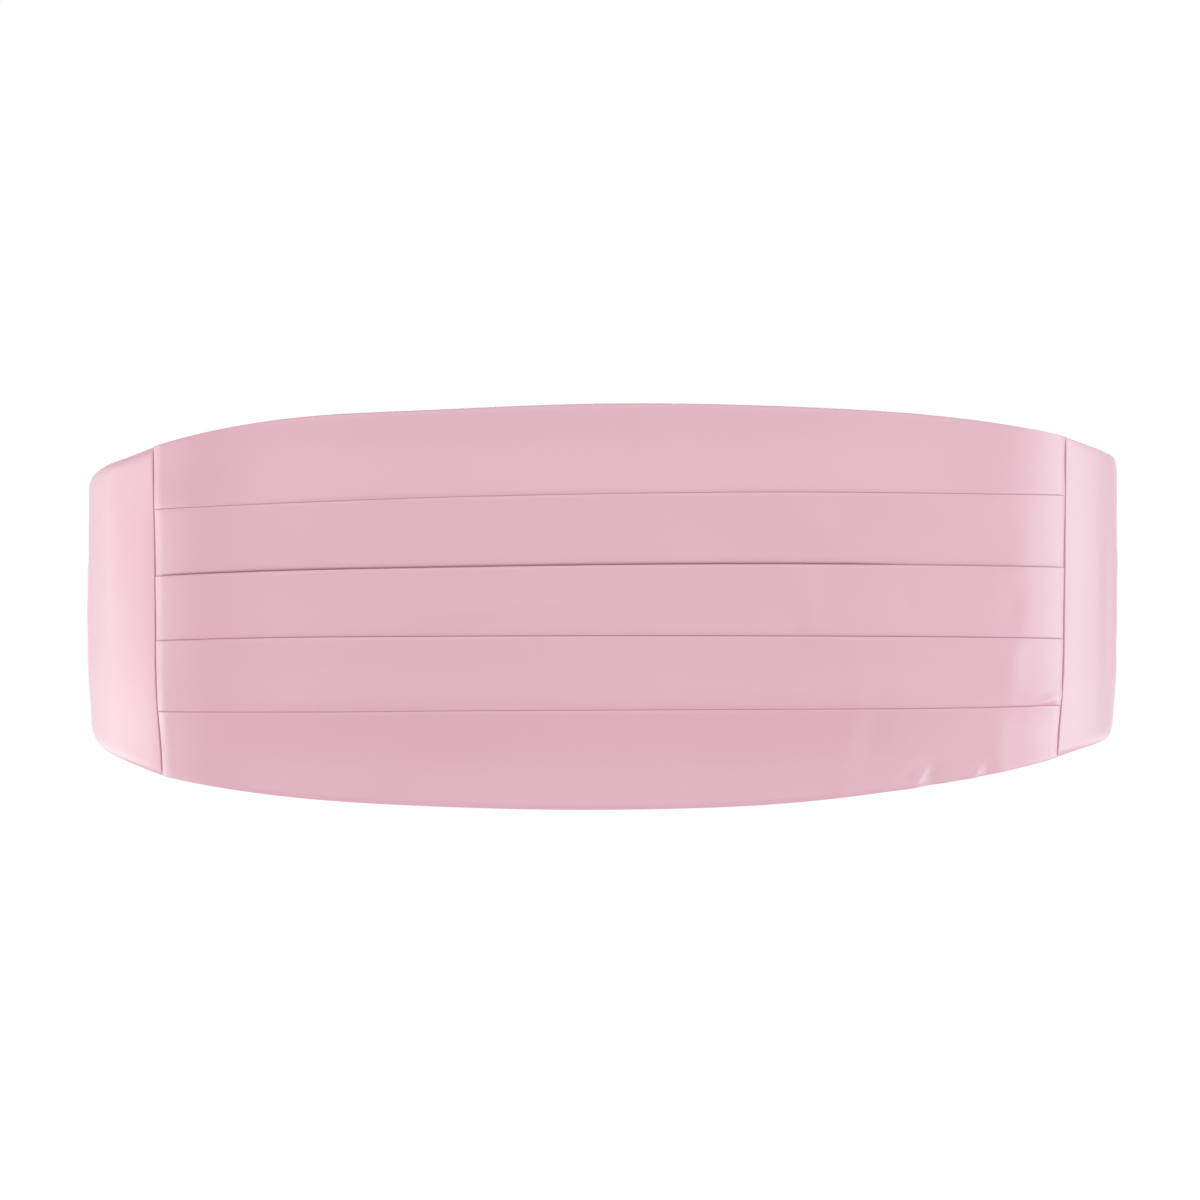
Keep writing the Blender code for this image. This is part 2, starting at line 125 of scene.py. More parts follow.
# Heights of the edges and folds in millimetres, at shares of the length from the left seam
Section = namedtuple("Section", "place top fold_1 fold_2 fold_3 fold_4 bottom")
PANEL_SECTIONS = (
    Section(place=0 / 6, top=50.4, fold_1=29.7, fold_2=7.7, fold_3=-13.5, fold_4=-36.7, bottom=-57.8),
    Section(place=1 / 6, top=58.5, fold_1=31.3, fold_2=9.4, fold_3=-12.2, fold_4=-36.3, bottom=-63.8),
    Section(place=2 / 6, top=61.1, fold_1=32.9, fold_2=10.4, fold_3=-11.7, fold_4=-35.6, bottom=-66.4),
    Section(place=3 / 6, top=62.8, fold_1=34.0, fold_2=11.2, fold_3=-11.5, fold_4=-35.2, bottom=-67.1),
    Section(place=4 / 6, top=62.1, fold_1=34.6, fold_2=11.5, fold_3=-11.6, fold_4=-35.1, bottom=-65.4),
    Section(place=5 / 6, top=59.5, fold_1=34.5, fold_2=11.2, fold_3=-12.0, fold_4=-35.1, bottom=-59.8),
    Section(place=6 / 6, top=53.9, fold_1=34.5, fold_2=10.7, fold_3=-12.8, fold_4=-34.7, bottom=-51.9),
)
PANEL_LEVELS = ("top", "fold_1", "fold_2", "fold_3", "fold_4", "bottom")

# Each fold in millimetres: how far it stands out, the share of its face over which that falls back, how far
# the foot of the face behind it stands out, how high over the fold that foot tucks in and how deep, and how
# much of the tuck is pressed shut near the ends
Fold = namedtuple("Fold", "loft fall foot tuck_height tuck_depth shut")
FOLDS = (
    Fold(loft=0.85, fall=1.10, foot=0.90, tuck_height=0.38, tuck_depth=0.56, shut=0),
    Fold(loft=0.75, fall=1.20, foot=0.00, tuck_height=0.9, tuck_depth=0.44, shut=0.7),
    Fold(loft=0.50, fall=0.70, foot=0.10, tuck_height=0.45, tuck_depth=0.24, shut=0),
    Fold(loft=0.70, fall=0.60, foot=0.80, tuck_height=0.45, tuck_depth=0.62, shut=0),
)

# Creases in millimetres: where the middle of each lies, how its line leans from level in degrees, its
# length and width, and how far it stands out (above zero) or sinks in. Two run on across the left seam.
Crease = namedtuple("Crease", "arc height lean length width depth")
SEAM_CREASES = (
    Crease(arc=-160, height=44.0, lean=90, length=44, width=4.5, depth=0.3),
    Crease(arc=-160, height=-38.0, lean=88, length=66, width=9.0, depth=0.45),
)
FRONT_CREASES = SEAM_CREASES + (
    Crease(arc=161, height=-32.3, lean=14, length=24, width=1.3, depth=0.6),
    Crease(arc=150, height=-35.5, lean=60, length=16, width=3.0, depth=0.12),
    Crease(arc=103.2, height=-60.0, lean=50, length=24, width=3.1, depth=1.6),
    Crease(arc=111.2, height=-58.3, lean=50, length=20, width=3.1, depth=-1.1),
    Crease(arc=114.2, height=-54.4, lean=50, length=12, width=2.0, depth=0.5),
    Crease(arc=126.4, height=-57.8, lean=58, length=15, width=2.2, depth=0.8),
    Crease(arc=132.8, height=-56.6, lean=60, length=13, width=2.2, depth=-0.5),
    Crease(arc=137, height=-49.0, lean=84, length=34, width=6.0, depth=0.5),
    Crease(arc=79.5, height=-48.0, lean=74, length=52, width=3.8, depth=0.55),
    Crease(arc=88.5, height=-47.0, lean=76, length=46, width=3.8, depth=-0.4),
    Crease(arc=84, height=-24.0, lean=88, length=34, width=4.0, depth=0.45),
    Crease(arc=57, height=-20.0, lean=90, length=30, width=5.0, depth=0.3),
    Crease(arc=66, height=0.0, lean=96, length=34, width=4.5, depth=0.6),
    Crease(arc=100, height=-1.0, lean=90, length=30, width=4.0, depth=-0.35),
    Crease(arc=70, height=22.0, lean=92, length=26, width=6.0, depth=0.4),
    Crease(arc=141, height=-23.0, lean=84, length=32, width=5.5, depth=0.4),
    Crease(arc=142, height=-2.0, lean=72, length=34, width=5.0, depth=-0.35),
    Crease(arc=-96, height=20.0, lean=96, length=30, width=7.0, depth=0.25),
    Crease(arc=-32, height=-2.5, lean=4, length=90, width=3.0, depth=0.14),
    Crease(arc=12, height=44.0, lean=-3, length=150, width=7.0, depth=-0.25),
    Crease(arc=-70, height=-52.0, lean=94, length=24, width=7.0, depth=0.25),
    Crease(arc=145, height=6.0, lean=88, length=60, width=6.0, depth=0.25),
    Crease(arc=115, height=34.0, lean=0, length=120, width=9.0, depth=0.45),
)


def measured_waist():
    """Angles round the waist's oval, and the arc from centre front at each of them."""
    angles = np.linspace(-math.pi, math.pi, WAIST_POINTS)
    across = WAIST_HALF_WIDTH * np.sin(angles)
    along = -WAIST_HALF_DEPTH * np.cos(angles)
    arcs = np.concatenate([[0], np.cumsum(np.hypot(np.diff(across), np.diff(along)))])
    return angles, arcs - arcs[len(arcs) // 2]


WAIST_ANGLES, WAIST_ARCS = measured_waist()
HALF_GIRTH = float(WAIST_ARCS[-1])


def on_waist(arc, height, out):
    """World positions of spots on the garment."""
    arc = (arc + HALF_GIRTH) % (2 * HALF_GIRTH) - HALF_GIRTH
    angle = np.interp(arc, WAIST_ARCS, WAIST_ANGLES)
    sine, cosine = np.sin(angle), np.cos(angle)
    lowness = np.clip((-height - UPRIGHT_DOWN_TO) / (DRAWN_IN_BY - UPRIGHT_DOWN_TO), 0, 1)
    stand = out - LOWER_INSET * (1 - np.cos(math.pi * lowness)) / 2
    stand = stand / np.hypot(WAIST_HALF_DEPTH * sine, WAIST_HALF_WIDTH * cosine)
    across = WAIST_HALF_WIDTH * sine + stand * WAIST_HALF_DEPTH * sine
    along = -WAIST_HALF_DEPTH * cosine - stand * WAIST_HALF_WIDTH * cosine
    return np.stack(np.broadcast_arrays(across, along, height), axis=-1)


def smooth(rows, column, place):
    """Heights in metres, at places, on a smooth curve through one column of a table."""
    places = np.array([row.place for row in rows])
    values = np.array([getattr(row, column) for row in rows]) * MM
    slopes = np.gradient(values, places, edge_order=2)
    i = np.clip(np.searchsorted(places, place, side="right") - 1, 0, len(rows) - 2)
    span = places[i + 1] - places[i]
    t = (place - places[i]) / span
    start = (1 + 2 * t) * (1 - t) ** 2 * values[i] + t * (1 - t) ** 2 * span * slopes[i]
    end = t * t * (3 - 2 * t) * values[i + 1] - t * t * (1 - t) * span * slopes[i + 1]
    return start + end


def creased(creases, arc, height):
    """How far the creases push the cloth out at each spot."""
    out = np.zeros(np.broadcast(arc, height).shape)
    for crease in creases:
        lean = math.radians(crease.lean)
        beside, above = arc - crease.arc * MM, height - crease.height * MM
        along = beside * math.cos(lean) + above * math.sin(lean)
        across = above * math.cos(lean) - beside * math.sin(lean)
        ends = np.clip(1 - (2 * along / (crease.length * MM)) ** 2, 0, 1) ** 2
        out += crease.depth * MM * ends * np.exp(-((across / (crease.width * MM)) ** 2))
    return out


def run(start, end, steps):
    """Straight stretches of paths from start to end, their last points left out."""
    share = np.linspace(0, 1, steps, endpoint=False)[None, :, None]
    return start[:, None] * (1 - share) + end[:, None] * share


def bend(centre, radius, first, last, steps):
    """Round stretches of paths between two angles in degrees, their last points left out."""
    angles = np.radians(np.linspace(first, last, steps, endpoint=False))
    return centre[:, None] + radius * np.stack([np.cos(angles), np.sin(angles)], axis=-1)[None]


def ease(share):
    """A share that starts and ends gently."""
    return share ** 2 * (3 - 2 * share)


def tuck_in(start, end):
    """Stretches of paths from start to end that ease inwards, their last points left out."""
    share = np.linspace(0, 1, TUCK_STEPS, endpoint=False)[None, :]
    height = start[:, 1:] + (end - start)[:, 1:] * share
    out = start[:, :1] + (end - start)[:, :1] * ease(share)
    return np.stack([out, height], axis=-1)


def face(head, foot, fall):
    """A pleat's face, which falls back from its head to lie flat, and may stand out again at its foot."""
    share = np.linspace(0, 1, FACE_STEPS, endpoint=False)[None, :]
    height = head[:, 1:] + (foot - head)[:, 1:] * share
    fallen = np.clip(share / fall, 0, 1)
    raised = np.clip((share - FOOT_FROM) / (1 - FOOT_FROM), 0, 1)
    out = FACE_OUT + (head[:, :1] - FACE_OUT) * (1 - fallen) ** FALL_POWER
    out = out + (foot[:, :1] - FACE_OUT) * ease(raised)
    return np.stack([out, height], axis=-1)


def spots(out, height):
    """One (out, height) point for each station."""
    return np.stack(np.broadcast_arrays(out, height), axis=-1)


def folded_paths(levels, place):
    """Middle lines of the folded cloth as (out, height), from the hem behind its top edge to the lower one."""
    shut = np.interp(place, [0, OPEN_FROM, OPEN_UNTIL, SHUT_FROM], [1, 0, 0, 1])
    hem_edge = HEM_RADIUS + SATIN_THICK / 2
    fold_edge = FOLD_RADIUS + SATIN_THICK / 2
    hem_in, fold_in = np.array([HEM_RADIUS, 0]), np.array([FOLD_RADIUS, 0])
    head, fall = spots(FACE_OUT + TOP_LOFT, levels[0] - hem_edge), TOP_FALL
    pieces = [
        run(head - 2 * hem_in - [0, HEM], head - 2 * hem_in, HIDDEN_STEPS),
        bend(head - hem_in, HEM_RADIUS, 180, 0, FOLD_STEPS),
    ]
    for level, fold in zip(levels[1:-1], FOLDS):
        face_out = FACE_OUT + fold.foot * MM
        tuck = fold.tuck_depth * MM * (1 - fold.shut * shut)
        last_shown = spots(face_out, level + fold.tuck_height * MM)
        tucked = spots(face_out - tuck, level - TUCK_BELOW)
        foot = spots(FACE_OUT - tuck, level - UNDERLAP)
        brow = spots(FACE_OUT + fold.loft * MM, level - fold_edge)
        pieces += [
            face(head, last_shown, fall),
            tuck_in(last_shown, tucked),
            run(tucked, foot, HIDDEN_STEPS),
            bend(foot + fold_in, FOLD_RADIUS, -180, 0, FOLD_STEPS),
            run(foot + 2 * fold_in, brow - 2 * fold_in, HIDDEN_STEPS),
            bend(brow - fold_in, FOLD_RADIUS, 180, 0, FOLD_STEPS),
        ]
        head, fall = brow, fold.fall
    foot = spots(FACE_OUT + LOWEST_FOOT, levels[-1] + hem_edge)
    hem_end = foot - 2 * hem_in + [0, HEM]
    pieces += [
        face(head, foot, fall),
        bend(foot - hem_in, HEM_RADIUS, 0, -180, FOLD_STEPS),
        run(foot - 2 * hem_in, hem_end, HIDDEN_STEPS),
        hem_end[:, None],
    ]
    return np.concatenate(pieces, axis=1)


def both_sides(paths, thick):
    """The two surfaces of a wall, half a thickness to each side of its middle lines."""
    steps = np.diff(paths, axis=1)
    steps /= np.linalg.norm(steps, axis=2, keepdims=True)
    before = np.concatenate([steps[:, :1], steps], axis=1)
    after = np.concatenate([steps, steps[:, -1:]], axis=1)
    mean = before + after
    mean /= np.linalg.norm(mean, axis=2, keepdims=True)
    side = np.stack([-mean[..., 1], mean[..., 0]], axis=-1)
    side *= thick / 2 / (mean * after).sum(axis=2, keepdims=True)
    return paths + side, paths - side


def seam_dip(distance):
    """How far a piece's edge rolls in towards its seam."""
    rest = 1 - np.clip(distance / SEAM_ROLL, 0, 1)
    return SEAM_DEPTH * (1 - np.sqrt(1 - rest ** 2))


def roll_stops():
    """Distances from a seam that follow the roll into it and end just beside it."""
    angles = np.linspace(0, math.pi / 2, SEAM_ROLL_STEPS)
    return np.concatenate([SEAM_ROLL * (1 - np.cos(angles)), SEAM_ROLL + BESIDE_ROLL_STOPS])


def new_piece(name, mesh, finish):
    """A smooth piece of one mesh in one finish."""
    mesh.shade_smooth()
    mesh.materials.append(finish)
    piece = bpy.data.objects.new(name, mesh)
    bpy.context.scene.collection.objects.link(piece)
    return piece


def shell(name, near, far, threads, finish):
    """A closed shell of cloth between two surfaces of (station, row) points, with its thread directions."""
    stations, rows = near.shape[:2]
    rings = np.concatenate([near, far[:, ::-1]], axis=1)
    ring = 2 * rows
    first = (np.arange(stations - 1)[:, None] * ring + np.arange(ring)[None]).ravel()
    second = (np.arange(stations - 1)[:, None] * ring + (np.arange(ring)[None] + 1) % ring).ravel()
    faces = np.stack([first, second, second + ring, first + ring], axis=1)
    k = np.arange(rows - 1)
    cap = np.stack([k, ring - 1 - k, ring - 2 - k, k + 1], axis=1)
    last = (stations - 1) * ring
    faces = np.concatenate([faces, cap, last + cap[:, ::-1]])
    points = rings.reshape(-1, 3)
    # Its faces are turned over if they look inwards, which gives it a volume below zero
    corners = points[faces]
    halves = np.cross(corners[:, 1] - corners[:, 0], corners[:, 2] - corners[:, 0])
    halves += np.cross(corners[:, 2] - corners[:, 0], corners[:, 3] - corners[:, 0])
    if (corners.mean(axis=1) * halves).sum() < 0:
        faces = faces[:, ::-1]
    mesh = bpy.data.meshes.new(name)
    mesh.from_pydata(points.tolist(), [], faces.tolist())
    cloth = np.concatenate([threads, threads[:, ::-1]], axis=1).reshape(-1, 2)
    cloth = np.concatenate([cloth, np.zeros((len(cloth), 1))], axis=1)
    mesh.attributes.new("cloth", "FLOAT_VECTOR", "POINT").data.foreach_set("vector", cloth.ravel())
    piece = new_piece(name, mesh, finish)
    mesh.set_sharp_from_angle(angle=math.radians(CLOTH_SHARP_ABOVE))
    return piece


def lengths_down(paths):
    """Length along the cloth at each point of its paths."""
    steps = np.linalg.norm(np.diff(paths, axis=1), axis=2)
    return np.concatenate([np.zeros((len(paths), 1)), np.cumsum(steps, axis=1)], axis=1)


def new_finish(name):
    """A new finish with the tree of its nodes and its shader."""
    finish = bpy.data.materials.new(name)
    finish.use_nodes = True
    return finish, finish.node_tree, finish.node_tree.nodes["Principled BSDF"]


def connect(tree, node, inputs):
    """Give a shader node's sockets their values and links."""
    for key, value in inputs.items():
        if isinstance(value, bpy.types.NodeSocket):
            tree.links.new(value, node.inputs[key])
        else:
            node.inputs[key].default_value = value


def add_node(tree, kind, inputs=None, **settings):
    """The outputs of a new shader node with its settings, values and links."""
    node = tree.nodes.new(kind)
    for key, value in settings.items():
        setattr(node, key, value)
    connect(tree, node, inputs or {})
    return node.outputs


def scaled(tree, place, scales):
    """Places stretched by three scales, which draws out the grain of noise over them."""
    return add_node(tree, "ShaderNodeVectorMath", {0: place, 1: scales}, operation="MULTIPLY")[0]


def noise(tree, place, detail, scale=1):
    """Soft noise over places."""
    return add_node(tree, "ShaderNodeTexNoise", {"Vector": place, "Scale": scale, "Detail": detail})[0]


def ranged(tree, value, low, high, start=0, end=1):
    """A value brought from between start and end to between low and high."""
    return add_node(tree, "ShaderNodeMapRange", {0: value, 1: start, 2: end, 3: low, 4: high})[0]


def blended(tree, share, first, second):
    """A colour between two, at a share of the way."""
    return add_node(tree, "ShaderNodeMix", {0: share, 6: first, 7: second}, data_type="RGBA")[2]


def relief(tree, height, strength, distance, over=None):
    """Fine relief from a height, over other relief where there is some."""
    inputs = {"Height": height, "Strength": strength, "Distance": distance}
    if over:
        inputs["Normal"] = over
    return add_node(tree, "ShaderNodeBump", inputs)[0]


def linear(colour):
    """Shader colour from an sRGB one."""
    return (*(((value / 255 + 0.055) / 1.055) ** 2.4 for value in colour), 1)


# Its colours, its grain in waves a metre along the piece and down it, and its shine
SATIN_PINK = linear((209, 156, 171))
SATIN_PALE = linear((211, 159, 174))
TONE_WAVES = 22
SLUB_WAVES = (2600, 60, 0)
WEAVE_WAVES = (4200, 2600, 0)
SLUB_HEIGHT = 0.03 * MM
WEAVE_HEIGHT = 0.02 * MM
SATIN_RELIEF = 0.25
SATIN_SMOOTHEST = 0.32
SATIN_ROUGHEST = 0.38
SATIN_SHINE = {"IOR": 1.5, "Specular IOR Level": 0.8, "Sheen Weight": 0.1, "Sheen Roughness": 0.35}


def satin(name):
    """Smooth woven satin: long floats that shine across the thread, faint slubs and a very fine weave."""
    finish, tree, shader = new_finish(name)
    cloth = add_node(tree, "ShaderNodeAttribute", attribute_name="cloth")["Vector"]
    slubs = noise(tree, scaled(tree, cloth, SLUB_WAVES), detail=3)
    weave = noise(tree, scaled(tree, cloth, WEAVE_WAVES), detail=1)
    tone = noise(tree, cloth, detail=2, scale=TONE_WAVES)
    raised = relief(tree, slubs, SATIN_RELIEF, SLUB_HEIGHT)
    connect(tree, shader, SATIN_SHINE)
    connect(tree, shader, {
        "Base Color": blended(tree, tone, SATIN_PINK, SATIN_PALE),
        "Roughness": ranged(tree, slubs, SATIN_SMOOTHEST, SATIN_ROUGHEST),
        "Normal": relief(tree, weave, SATIN_RELIEF, WEAVE_HEIGHT, over=raised),
    })
    return finish


# Its stations run from the left seam to the right one, and stand closest near them
front_length = LEFT_SEAM + RIGHT_SEAM
rolls = roll_stops()
fine_left = np.arange(END_STEP, LEFT_FINE, END_STEP)
fine_right = front_length - np.arange(END_STEP, RIGHT_FINE, END_STEP)[::-1]
middle_steps = round((front_length - LEFT_FINE - RIGHT_FINE) / MIDDLE_STEP)
middle = np.linspace(LEFT_FINE, front_length - RIGHT_FINE, middle_steps)
distance = np.concatenate([rolls, fine_left, middle, fine_right, (front_length - rolls)[::-1]])
place = distance / front_length
edge_distance = np.minimum(distance, front_length - distance)[:, None]
paths = folded_paths([smooth(PANEL_SECTIONS, level, place) for level in PANEL_LEVELS], place)
closeness = 1 - FRONT_PRESS * (1 - np.minimum(1, edge_distance / FRONT_PRESS_LENGTH)) ** 2
down = lengths_down(paths)
surfaces = []
for side in both_sides(paths, SATIN_THICK):
    out, height = side[..., 0], side[..., 1]
    left = -LEFT_SEAM - SEAM_LEAN * height + SEAM_GAP / 2
    right = RIGHT_SEAM + SEAM_LEAN * height - SEAM_GAP / 2
    arc = left + place[:, None] * (right - left)
    out = FRONT_PRESSED_OUT + (out - FRONT_PRESSED_OUT) * closeness
    out += creased(FRONT_CREASES, arc, height) - seam_dip(edge_distance)
    surfaces.append(on_waist(arc, height, out))
threads = np.stack([np.broadcast_to(distance[:, None], down.shape), down], axis=-1)
front = shell("satin_front", *surfaces, threads, satin("front satin"))
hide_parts("pleated_front")
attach(front, "root")

# The wings
# Plain tapering side panels of two satins, sewn face to face along their long edges and turned out. Each
# is sewn to one end of the front, and its narrow end is closed over the strap's tape.
WING_LENGTH = 190 * MM
WING_THICK = 2.4 * MM
WING_LIP = 4.0 * MM
WING_LIP_THICK = 0.5 * MM
WING_PRESS_LENGTH = 30 * MM
WING_PRESS = 0.15
WING_END_CLOSE = 3.0 * MM
WING_END_THICK = 1.5 * MM
WING_LIP_STEPS = 7
WING_FACE_STEPS = 60
WING_STEP = 1.6 * MM

LEFT_WING_CREASES = SEAM_CREASES + (
    Crease(arc=-187, height=22.0, lean=97, length=78, width=11.0, depth=0.8),
    Crease(arc=-226, height=32.0, lean=88, length=44, width=9.0, depth=-0.7),
    Crease(arc=-208, height=-8.0, lean=88, length=80, width=8.0, depth=0.6),
    Crease(arc=-236, height=20.0, lean=-16, length=62, width=4.5, depth=-0.55),
    Crease(arc=-252, height=-6.0, lean=3, length=96, width=4.0, depth=0.6),
    Crease(arc=-246, height=-24.0, lean=15, length=60, width=4.0, depth=-0.5),
    Crease(arc=-297, height=9.0, lean=-9, length=80, width=3.5, depth=-0.55),
    Crease(arc=-305, height=-8.0, lean=8, length=66, width=3.0, depth=0.5),
    Crease(arc=-322, height=2.0, lean=-2, length=44, width=2.4, depth=-0.45),
    Crease(arc=-262, height=38.0, lean=-62, length=18, width=3.0, depth=0.3),
    Crease(arc=-283, height=-30.0, lean=70, length=16, width=2.6, depth=-0.3),
    Crease(arc=-222, height=-44.0, lean=66, length=20, width=3.2, depth=0.3),
)
RIGHT_WING_CREASES = (
    Crease(arc=186, height=16.0, lean=93, length=84, width=7.0, depth=0.4),
    Crease(arc=199, height=-4.0, lean=90, length=110, width=5.0, depth=-0.45),
    Crease(arc=211, height=2.0, lean=91, length=96, width=6.0, depth=0.5),
    Crease(arc=236, height=-20.0, lean=-13, length=70, width=4.5, depth=-0.5),
    Crease(arc=244, height=17.0, lean=12, length=78, width=5.0, depth=0.6),
    Crease(arc=262, height=-2.0, lean=-3, length=100, width=3.8, depth=-0.6),
    Crease(arc=292, height=-12.0, lean=-9, length=72, width=3.4, depth=0.5),
    Crease(arc=303, height=10.0, lean=10, length=70, width=3.0, depth=-0.5),
    Crease(arc=330, height=0.0, lean=1, length=40, width=2.4, depth=0.45),
    Crease(arc=228, height=42.0, lean=64, length=20, width=3.0, depth=-0.3),
    Crease(arc=275, height=31.0, lean=58, length=16, width=2.8, depth=0.3),
    Crease(arc=251, height=-40.0, lean=-68, length=18, width=3.0, depth=0.3),
    Crease(arc=312, height=-19.0, lean=-60, length=12, width=2.2, depth=-0.25),
)

# Heights of the edges in millimetres, at shares of the length from the seam
Taper = namedtuple("Taper", "place top bottom")
LEFT_TAPER = (
    Taper(place=0.00, top=50.4, bottom=-57.8),
    Taper(place=0.07, top=47.6, bottom=-55.1),
    Taper(place=0.15, top=45.2, bottom=-52.2),
    Taper(place=0.25, top=41.9, bottom=-48.7),
    Taper(place=0.50, top=33.0, bottom=-38.0),
    Taper(place=0.80, top=22.3, bottom=-23.6),
    Taper(place=1.00, top=16.5, bottom=-16.5),
)
RIGHT_TAPER = (
    Taper(place=0.00, top=53.9, bottom=-51.9),
    Taper(place=0.07, top=51.7, bottom=-49.7),
    Taper(place=0.15, top=49.8, bottom=-48.0),
    Taper(place=0.25, top=47.8, bottom=-46.0),
    Taper(place=0.50, top=38.5, bottom=-37.0),
    Taper(place=0.80, top=24.5, bottom=-23.8),
    Taper(place=1.00, top=16.5, bottom=-16.5),
)


def make_wing(name, node, side, seam, taper, creases, finish):
    """A wing from its seam with the front to its strap end, on side -1, left, or 1, right."""
    distance = np.concatenate([roll_stops(), np.arange(WING_STEP, WING_LENGTH, WING_STEP), [WING_LENGTH]])
    distance = distance[:, None]
    place = distance / WING_LENGTH
    top, bottom = smooth(taper, "top", place), smooth(taper, "bottom", place)
    turn = np.linspace(0, math.pi / 2, WING_LIP_STEPS)[None]
    share = np.linspace(0, 1, WING_FACE_STEPS)[None, 1:-1]
    lip_down = WING_LIP * (1 - np.cos(turn))
    height = np.concatenate(
        [
            top - lip_down,
            (top - WING_LIP) * (1 - share) + (bottom + WING_LIP) * share,
            (bottom + lip_down)[:, ::-1],
        ],
        axis=1,
    )
    full = np.concatenate([np.sin(turn), np.ones_like(share), np.sin(turn)[:, ::-1]], axis=1)
    thick = WING_LIP_THICK + (WING_THICK - WING_LIP_THICK) * full
    from_end = np.minimum(1, (WING_LENGTH - distance) / WING_END_CLOSE)
    thick = np.minimum(thick, WING_END_THICK + (WING_THICK - WING_END_THICK) * np.sin(from_end * math.pi / 2))
    closeness = 1 - WING_PRESS * (1 - np.minimum(1, distance / WING_PRESS_LENGTH)) ** 2
    arc = side * (seam + SEAM_GAP / 2 + distance + SEAM_LEAN * height * (1 - place))
    moved = creased(creases, arc, height) - seam_dip(distance)
    outer = on_waist(arc, height, (WING_THICK + thick) / 2 * closeness + moved)
    inner = on_waist(arc, height, (WING_THICK - thick) / 2 + moved)
    threads = np.stack([np.broadcast_to(distance, height.shape), height], axis=-1)
    wing = shell(name, outer, inner, threads, finish)
    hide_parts(node)
    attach(wing, "root")
    return wing


wing_satin = satin("wing satin")
wing_left = make_wing(
    "satin_wing_left", "wing_left", -1, LEFT_SEAM, LEFT_TAPER, LEFT_WING_CREASES, wing_satin
)
wing_right = make_wing(
    "satin_wing_right", "wing_right", 1, RIGHT_SEAM, RIGHT_TAPER, RIGHT_WING_CREASES, wing_satin
)

# The strap's tapes
# Two lengths of ribbed pink tape. The short one is sewn into the right wing, turns round the eye and is
# stitched back on itself. The long one is sewn into the left wing, lies over the slider and round the
# hook's bar, and its end goes round the slider's bar.
TAPE_WIDTH = 25 * MM
TAPE_THICK = 0.9 * MM
SELVEDGE = 1.2 * MM
SELVEDGE_STOPS = np.array([0, 0.25, 0.6, 1]) * SELVEDGE
SELVEDGE_THICK = 0.35 * MM
TAPE_FACE_STEPS = 8

# How far out it lies in a wing, against the waist and over itself, and how it bends between them
TAPE_IN_WING = 1.2 * MM
TAPE_LYING = 0.6 * MM
TAPE_OVER = 1.9 * MM
TAPE_SLACK = 12 * MM
TAPE_CORNER = 3.0 * MM
TAPE_STEP = 1.5 * MM
TAPE_SHORTEST_STEP = 0.08 * MM
TURN_STEPS = 18
CORNER_STEPS = 7
SHORT_TURN_BACK = 24 * MM

# What its solid leaves between itself and a bar, and the solid's own thickness
STRAP_GAP = 0.3 * MM
CAD_TAPE = 1.0 * MM

# The angles in degrees at which it turns round its bars, from under each of them
UNDER_BAR = -90
EYE_TURN_END = 105
HOOK_TURN_END = -260
WRAP_END = 130
CLIMB_ANGLE = 40

# The bars, by their reach from centre back, their thickness and their distance out
EYE_WIRE = 1.8 * MM
EYE_DEPTH = 9.0 * MM
METAL_OUT = 2.6 * MM
HOOK_SLOT_FAR = 14.8 * MM
HOOK_BAR = 2.4 * MM
SLIDER_REACH = 58 * MM
SLIDER_BAR = 2.6 * MM
SLIDER_OUT = 3.4 * MM


def turned(centre, radius, first, last):
    """Points of a tape that turns round a bar, between two angles in degrees."""
    angles = np.radians(np.linspace(first, last, TURN_STEPS))
    return np.array(centre) + radius * np.stack([np.cos(angles), np.sin(angles)], axis=-1)


def rounded(before, corner, after):
    """Points of a tape that rounds a corner."""
    back, ahead = before - corner, after - corner
    start = corner + back * min(TAPE_CORNER / np.linalg.norm(back), 0.5)
    end = corner + ahead * min(TAPE_CORNER / np.linalg.norm(ahead), 0.5)
    share = np.linspace(0, 1, CORNER_STEPS)[:, None]
    return start * (1 - share) ** 2 + 2 * corner * share * (1 - share) + end * share ** 2


def tape_route(*stretches):
    """One path of (reach, out) through corners, which are single points, and turns round bars."""
    stretches = [np.array(stretch, ndmin=2) for stretch in stretches]
    path = [stretches[0]]
    for before, here, after in zip(stretches, stretches[1:], stretches[2:]):
        path.append(rounded(before[-1], here[0], after[0]) if len(here) == 1 else here)
    path = np.concatenate([*path, stretches[-1]])
    lengths = np.concatenate([[0], np.cumsum(np.linalg.norm(np.diff(path, axis=0), axis=1))])
    stops = np.union1d(lengths, np.arange(0, lengths[-1], TAPE_STEP))
    stops = stops[np.diff(stops, prepend=-1) > TAPE_SHORTEST_STEP]
    return np.stack([np.interp(stops, lengths, path[:, 0]), np.interp(stops, lengths, path[:, 1])], axis=-1)


# Its colours on the ribs and, darker as painted shade, in the grooves, its two sets of threads, and the fuzz
# on them
TAPE_GROOVE_SHADE = linear((192, 143, 157))
TAPE_RIDGE = linear((214, 168, 181))
RIB_PITCH = 0.9 * MM
WARP_PITCH = 0.55 * MM
WARP_SHARE = 0.3
VALLEY_AT = -1.3
RIDGE_FROM = 0.4
FUZZ_WAVES = 1800
RIB_RELIEF = 0.7
RIB_HEIGHT = 0.05 * MM
FUZZ_RELIEF = 0.35
FUZZ_HEIGHT = 0.04 * MM
TAPE_SMOOTHEST = 0.55
TAPE_ROUGHEST = 0.75
TAPE_SHEEN = {"Sheen Weight": 0.2, "Sheen Roughness": 0.4}


def waves(tree, along, pitch):
    """Even waves of a pitch."""
    turn = add_node(tree, "ShaderNodeMath", {0: along, 1: 2 * math.pi / pitch}, operation="MULTIPLY")[0]
    return add_node(tree, "ShaderNodeMath", {0: turn}, operation="SINE")[0]


